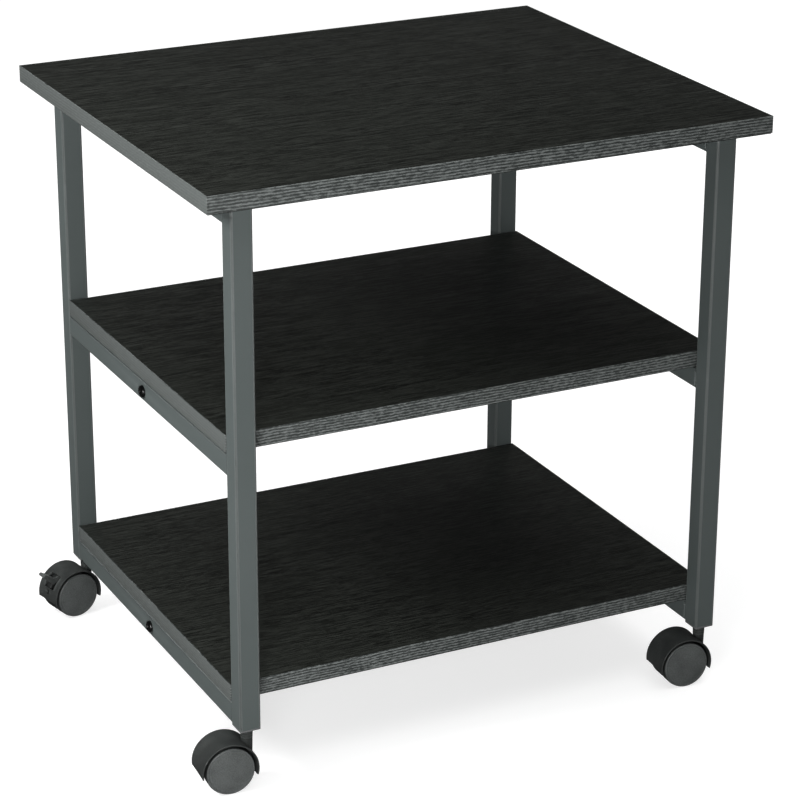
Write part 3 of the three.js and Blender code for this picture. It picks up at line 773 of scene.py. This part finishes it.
def makeHoodShell():
    half, outer, skin, lip = hoodMake["halfWidth"], hoodMake["outer"], hoodMake["skin"], hoodMake["lip"]
    inner, mouth = hoodMake["inner"], hoodMake["mouth"]
    profile = [(inner, lip + 1 - half), (mouth, -half), (outer, -half), (outer, lip - half),
               (skin, lip - half + 0.5), (skin, half - lip - 0.5), (outer, half - lip), (outer, half),
               (mouth, half), (inner, half - lip - 1)]
    shell = sector("hoodShell", profile, hoodMake["rear"], hoodMake["front"], 70)
    bevelSharp(shell, hoodMake["lipEdge"] * mm, 3, 60)
    return shell


def makeNeck():
    top = hoodMake["neckTop"]
    outline = [(radius, top - depth) for radius, depth in neckOutline]
    neck = turned("neck", [(0, 31), (5.5, 31), *outline, (0, top)], 48)
    cut(neck, disc("wheelRoom", hoodMake["inner"] + 0.6, 20, 96))
    return neck


def makeLug(pivot):
    # the round that the lever's clip turns on, on a stalk from the web
    stalkEnd = aroundAxle(leverMake["pivotRadius"], leverMake["pivotAngle"] + leverMake["stalkTurn"])
    across = (stalkEnd - pivot).normalized().cross(alongAxle) * 0.7 * mm
    stalk = extruded("stalk", [pivot - across, stalkEnd - across, stalkEnd + across, pivot + across],
                     leverMake["half"] * mm)
    halfLug = Vector((0, leverMake["half"] * mm, 0))
    lug = rod("lug", pivot - halfLug, pivot + halfLug, leverMake["lug"] * mm, 32)
    cut(stalk, lug, "UNION")
    return stalk


def makeHood(braked):
    hood = makeHoodShell()
    webStart = hoodMake["brakedWebStart"] if braked else hoodMake["webStart"]
    web = sector("web", crossSection(hoodMake["webBore"], hoodMake["inner"] + 0.9, hoodMake["web"]),
                 webStart, hoodMake["front"] - 1, 36)
    cut(web, disc("boss", hoodMake["boss"], hoodMake["bossHalf"], 40), "UNION")
    cut(hood, web, "UNION")
    cut(hood, makeNeck(), "UNION")
    if braked:
        pivot = aroundAxle(leverMake["pivotRadius"], leverMake["pivotAngle"])
        cut(hood, makeLug(pivot), "UNION")
    cut(hood, rod("bore", Vector((0, 0, hoodMake["boreFloor"])) * mm, Vector((0, 0, 70)) * mm,
                  hoodMake["bore"] * mm, 48))
    cut(hood, disc("axleBore", hoodMake["axleBore"], 10, 36))
    if braked:
        inner, outer = windowMake["inner"], windowMake["outer"]
        window = sector("window", crossSection(inner, outer, windowMake["halfWidth"]),
                        windowMake["start"], windowMake["end"], 10)
        editEdges(window, lambda a, b: isRadial(a, b) and isWindowEnd(a))
        bpy.ops.mesh.bevel(offset=windowMake["corner"] * mm, segments=4)
        bpy.ops.object.mode_set(mode="OBJECT")
        cut(hood, window)
        span = math.degrees(windowMake["peepTall"] / hoodMake["outer"])
        peep = sector("peep", crossSection(inner, outer, windowMake["peepHalf"]),
                      windowMake["peep"] - span, windowMake["peep"] + span, 2)
        cut(hood, peep)
    smooth(hood, 28)
    return hood


def isRadial(a, b):
    # true for an edge of a sector's end that runs straight out from the axle
    span = (Vector((a.x, 0, a.z)) - axleCentre).length - (Vector((b.x, 0, b.z)) - axleCentre).length
    return abs(span) > 2 * mm


def isWindowEnd(point):
    # true on the two straight ends of the brake window
    spot = point - axleCentre
    angle = math.degrees(math.atan2(spot.z, -spot.x))
    return min(abs(angle - windowMake["start"]), abs(angle - windowMake["end"])) < 0.5


def makeWheel():
    radius, inner, outer = wheelMake["radius"], wheelMake["inner"], wheelMake["outer"]
    steps = wheelMake["domeSteps"]
    dome = [(wheelMake["domeRadius"] * i / steps,
             wheelMake["crown"] - wheelMake["domeFall"] * (i / steps) ** 2) for i in range(steps + 1)]
    rim = [(r, outer - depth) for r, depth in rimOutline]
    rim += quarterCurve((radius - 0.35, outer - wheelMake["shoulder"]), (23.1, outer), 7)[::-1]
    rim += [(radius, outer - 3.0)]
    tread = [(r, inner + height) for r, height in treadOutline]
    back = [(r, inner + height) for r, height in backOutline]
    back += [(wheelMake["bore"], wheelMake["boreEnd"]), (0, wheelMake["boreEnd"])]
    wheel = turned("wheel", dome + rim + tread + back, 96, yAxis)
    smooth(wheel, 34)
    return wheel


def makeAxle():
    radius, half, chamfer = axleMake["radius"], axleMake["halfLength"], axleMake["chamfer"]
    side = [(radius - chamfer, half), (radius, half - chamfer)]
    axle = turned("axle", [(0, -half), *[(r, -y) for r, y in side], *side[::-1], (0, half)], 40, yAxis)
    settle(axle, Matrix.Translation(axleCentre))
    smooth(axle)
    return axle


def makeLever():
    pivot = aroundAxle(leverMake["pivotRadius"], leverMake["pivotAngle"])
    lugRoom = leverMake["lug"] + leverMake["gap"]
    outward = pivot + Vector((-lugRoom - leverMake["clip"] / 2, 0, 0)) * mm
    side = Vector((0, 0, leverMake["clip"])) * mm
    pad = leverMake["padRadius"]
    arm = [aroundAxle(radius, angle) for radius, angle in armOutline]
    lever = extruded("lever", [outward - side, outward + side, *arm], leverMake["half"] * mm)
    section = crossSection(lugRoom, lugRoom + leverMake["clip"], leverMake["half"])
    clip = trace("clip", [pivot + Vector((radius, y, 0)) * mm for radius, y in section], closed=True)
    stalk = aroundAxle(leverMake["pivotRadius"], leverMake["pivotAngle"] + leverMake["stalkTurn"]) - pivot
    start = math.atan2(-stalk.z, stalk.x) + math.radians(leverMake["clipMouth"])
    opening = Matrix.Translation(pivot) @ Matrix.Rotation(start, 4, "Y")
    settle(clip, opening @ Matrix.Translation(-pivot))
    spin(clip, pivot, -alongAxle, math.radians(leverMake["clipArc"]), 28)
    cut(lever, clip, "UNION")
    padBlock = sector("pad", crossSection(pad, pad + leverMake["pad"], leverMake["padHalf"]),
                      leverMake["padStart"], leverMake["padEnd"], 4)
    cut(lever, padBlock, "UNION")
    cut(lever, makePaddle(), "UNION")
    smooth(lever, 30)
    return lever


def makePaddle():
    # a tapering blade with a blunt rounded nose and three grip ribs on its upper face
    root, tip = leverMake["paddleRoot"], leverMake["tipRadius"]
    low, high = leverMake["tip"], leverMake["tipTop"]
    nose = [(tip - 1.8, high), (tip - 0.7, high - 0.5), (tip - 0.1, high - 1.4), (tip, high - 2.4),
            (tip - 0.1, low + 1.4), (tip - 0.7, low + 0.5), (tip - 1.8, low)]
    outline = [(root, leverMake["root"]), (root, leverMake["rootTop"]), *nose]
    paddle = extruded("paddle", [aroundAxle(radius, angle) for radius, angle in outline],
                      leverMake["paddleHalf"] * mm)
    bevelSharp(paddle, 0.35 * mm, 2, 50)
    start = aroundAxle(root, leverMake["rootTop"])
    end = aroundAxle(*nose[0])
    ribHalf = Vector((0, leverMake["paddleHalf"] - leverMake["ribInset"], 0)) * mm
    for share in (0.5, 0.66, 0.82):
        spot = start.lerp(end, share)
        cut(paddle, rod("rib", spot - ribHalf, spot + ribHalf, leverMake["rib"] * mm, 16), "UNION")
    return paddle


def isShadedTreadFace(face):
    # the running surface and the inner side, painted darker than the outer face as shade
    radius = Vector((face.center.x, face.center.z)).length
    inward = face.center.y < (wheelMake["outer"] - wheelMake["shoulder"]) * mm
    return inward and radius > wheelMake["hub"] * mm


plainHood, brakedHood = makeHood(False), makeHood(True)
wheelModel, axleModel, leverModel = makeWheel(), makeAxle(), makeLever()
shadedTreadFaces = [face.index for face in wheelModel.data.polygons if isShadedTreadFace(face)]
for corner in corners:
    anchor = Vector(jointByName[f"swivel_{corner}"]["pos_m"])
    trailing = anchor - Vector(jointByName[f"roll_{corner}_a"]["pos_m"])
    turn = math.atan2(trailing.y, trailing.x)
    stand = Matrix.Translation((anchor.x, anchor.y, 0)) @ Matrix.Rotation(turn, 4, "Z")
    braked = f"brake_{corner}" in jointByName
    hood = settle(twin(brakedHood if braked else plainHood, f"caster_hood_{corner}"), stand)
    fit(hood, f"caster_{corner}", "hood_nylon", hoodNylon, f"hood_{corner}")
    axle = settle(twin(axleModel, f"caster_axle_{corner}"), stand)
    fit(axle, f"caster_{corner}", "zinc_steel", brightZinc, f"axle_{corner}")
    for letter, flip in (("a", math.pi), ("b", 0.0)):
        onAxle = stand @ Matrix.Translation(axleCentre) @ Matrix.Rotation(flip, 4, "X")
        wheel = settle(twin(wheelModel, f"caster_wheel_{corner}_{letter}"), onAxle)
        fit(wheel, f"roller_{corner}_{letter}", "wheel_nylon", wheelNylon, f"wheel_{corner}_{letter}")
        # painted shade: the tread and the inner side take the darker nylon
        wheel.data.materials.append(treadNylon.material)
        for index in shadedTreadFaces:
            wheel.data.polygons[index].material_index = 1
    if braked:
        lever = settle(twin(leverModel, f"brake_paddle_{corner}"), stand)
        fit(lever, f"brake_{corner}", "hood_nylon", hoodNylon, f"brake_lever_{corner}")
for model in (plainHood, brakedHood, wheelModel, axleModel, leverModel):
    drop(model)
print("casters made")


# Stage, light and camera

stageMake = {"floorSize": 50.0, "backdropRadius": 24.0, "shadeTint": 0.45, "floorGlow": 0.70,
             "bounceTint": 0.42, "skyStrength": 0.06, "sunStrength": 2.2, "sunSpread": 65.0}
cameraMake = {"target": (-0.02393, -0.08371, 0.31447), "distance": 2.88175, "azimuth": -26.51,
              "elevation": 21.67, "roll": 0.22, "lens": 127.46, "sensor": 36.0}
lightMake = {
    "keyFront": {"place": (-0.8, -1.2, 0.5), "aim": (-0.2, -0.2, 0.25), "size": 0.45, "power": 11.5},
    "keySide": {"place": (-1.35, 0.0, 1.25), "aim": (-0.26, 0.0, 0.3), "size": 0.5, "power": 19.5,
                "gloss": False},
    "fillRear": {"place": (1.3, 2.1, 0.8), "aim": (0.1, 0.1, 0.3), "size": 1.2, "power": 12,
                 "gloss": False},
}


def makeStagePiece(name, tint, glow, seenByCamera):
    # either seen by the camera alone, or only lighting the object
    piece = nameActive(name)
    colour = (tint, tint, tint, 1)
    finish = Finish(name, {"Base Color": colour, "Roughness": 0.9, "Specular IOR Level": 0.0,
                           "Emission Color": (1, 1, 1, 1), "Emission Strength": glow})
    piece.data.materials.append(finish.material)
    piece.visible_camera = seenByCamera
    piece.visible_diffuse = piece.visible_shadow = not seenByCamera
    piece.visible_glossy = False


deselectAll()
bpy.ops.mesh.primitive_plane_add(size=stageMake["floorSize"])
makeStagePiece("studio_floor", stageMake["shadeTint"], stageMake["floorGlow"], True)
deselectAll()
bpy.ops.mesh.primitive_plane_add(size=stageMake["floorSize"], location=(0, 0, -0.5 * mm))
makeStagePiece("floor_bounce", stageMake["bounceTint"], 0.0, False)
deselectAll()
bpy.ops.mesh.primitive_uv_sphere_add(radius=stageMake["backdropRadius"])
makeStagePiece("studio_backdrop", 0.0, 1.0, True)

world = bpy.data.worlds.new("studioWorld")
bpy.context.scene.world = world
world.use_nodes = True
world.node_tree.nodes["Background"].inputs["Color"].default_value = (1, 1, 1, 1)
world.node_tree.nodes["Background"].inputs["Strength"].default_value = stageMake["skyStrength"]

bpy.ops.object.light_add(type="SUN", location=(0, 0, 4))
sun = bpy.context.active_object
sun.data.energy = stageMake["sunStrength"]
sun.data.angle = math.radians(stageMake["sunSpread"])
sun.visible_glossy = False
for name, make in lightMake.items():
    place, aim = Vector(make["place"]), Vector(make["aim"])
    facing = (aim - place).to_track_quat("-Z", "Y").to_euler()
    bpy.ops.object.light_add(type="AREA", location=place, rotation=facing)
    lamp = bpy.context.active_object
    lamp.name = name
    lamp.data.shape = "DISK"
    lamp.data.size = make["size"]
    lamp.data.energy = make["power"]
    lamp.visible_camera = False
    lamp.visible_glossy = make.get("gloss", True)

azimuth, elevation = math.radians(cameraMake["azimuth"]), math.radians(cameraMake["elevation"])
backward = Vector((math.sin(azimuth) * math.cos(elevation), -math.cos(azimuth) * math.cos(elevation),
                   math.sin(elevation)))
level = Vector((math.cos(azimuth), math.sin(azimuth), 0))
roll = Matrix.Rotation(math.radians(cameraMake["roll"]), 3, backward)
rightward = roll @ level
upward = backward.cross(rightward)
turn = Matrix((rightward, upward, backward)).transposed().to_euler()
bpy.ops.object.camera_add(location=Vector(cameraMake["target"]) + cameraMake["distance"] * backward,
                          rotation=turn)
camera = bpy.context.active_object
camera.name = "studioCamera"
camera.data.sensor_width = cameraMake["sensor"]
camera.data.lens = cameraMake["lens"]
bpy.context.scene.camera = camera
bpy.context.scene.view_settings.view_transform = "Standard"
print("stage, light and camera made")
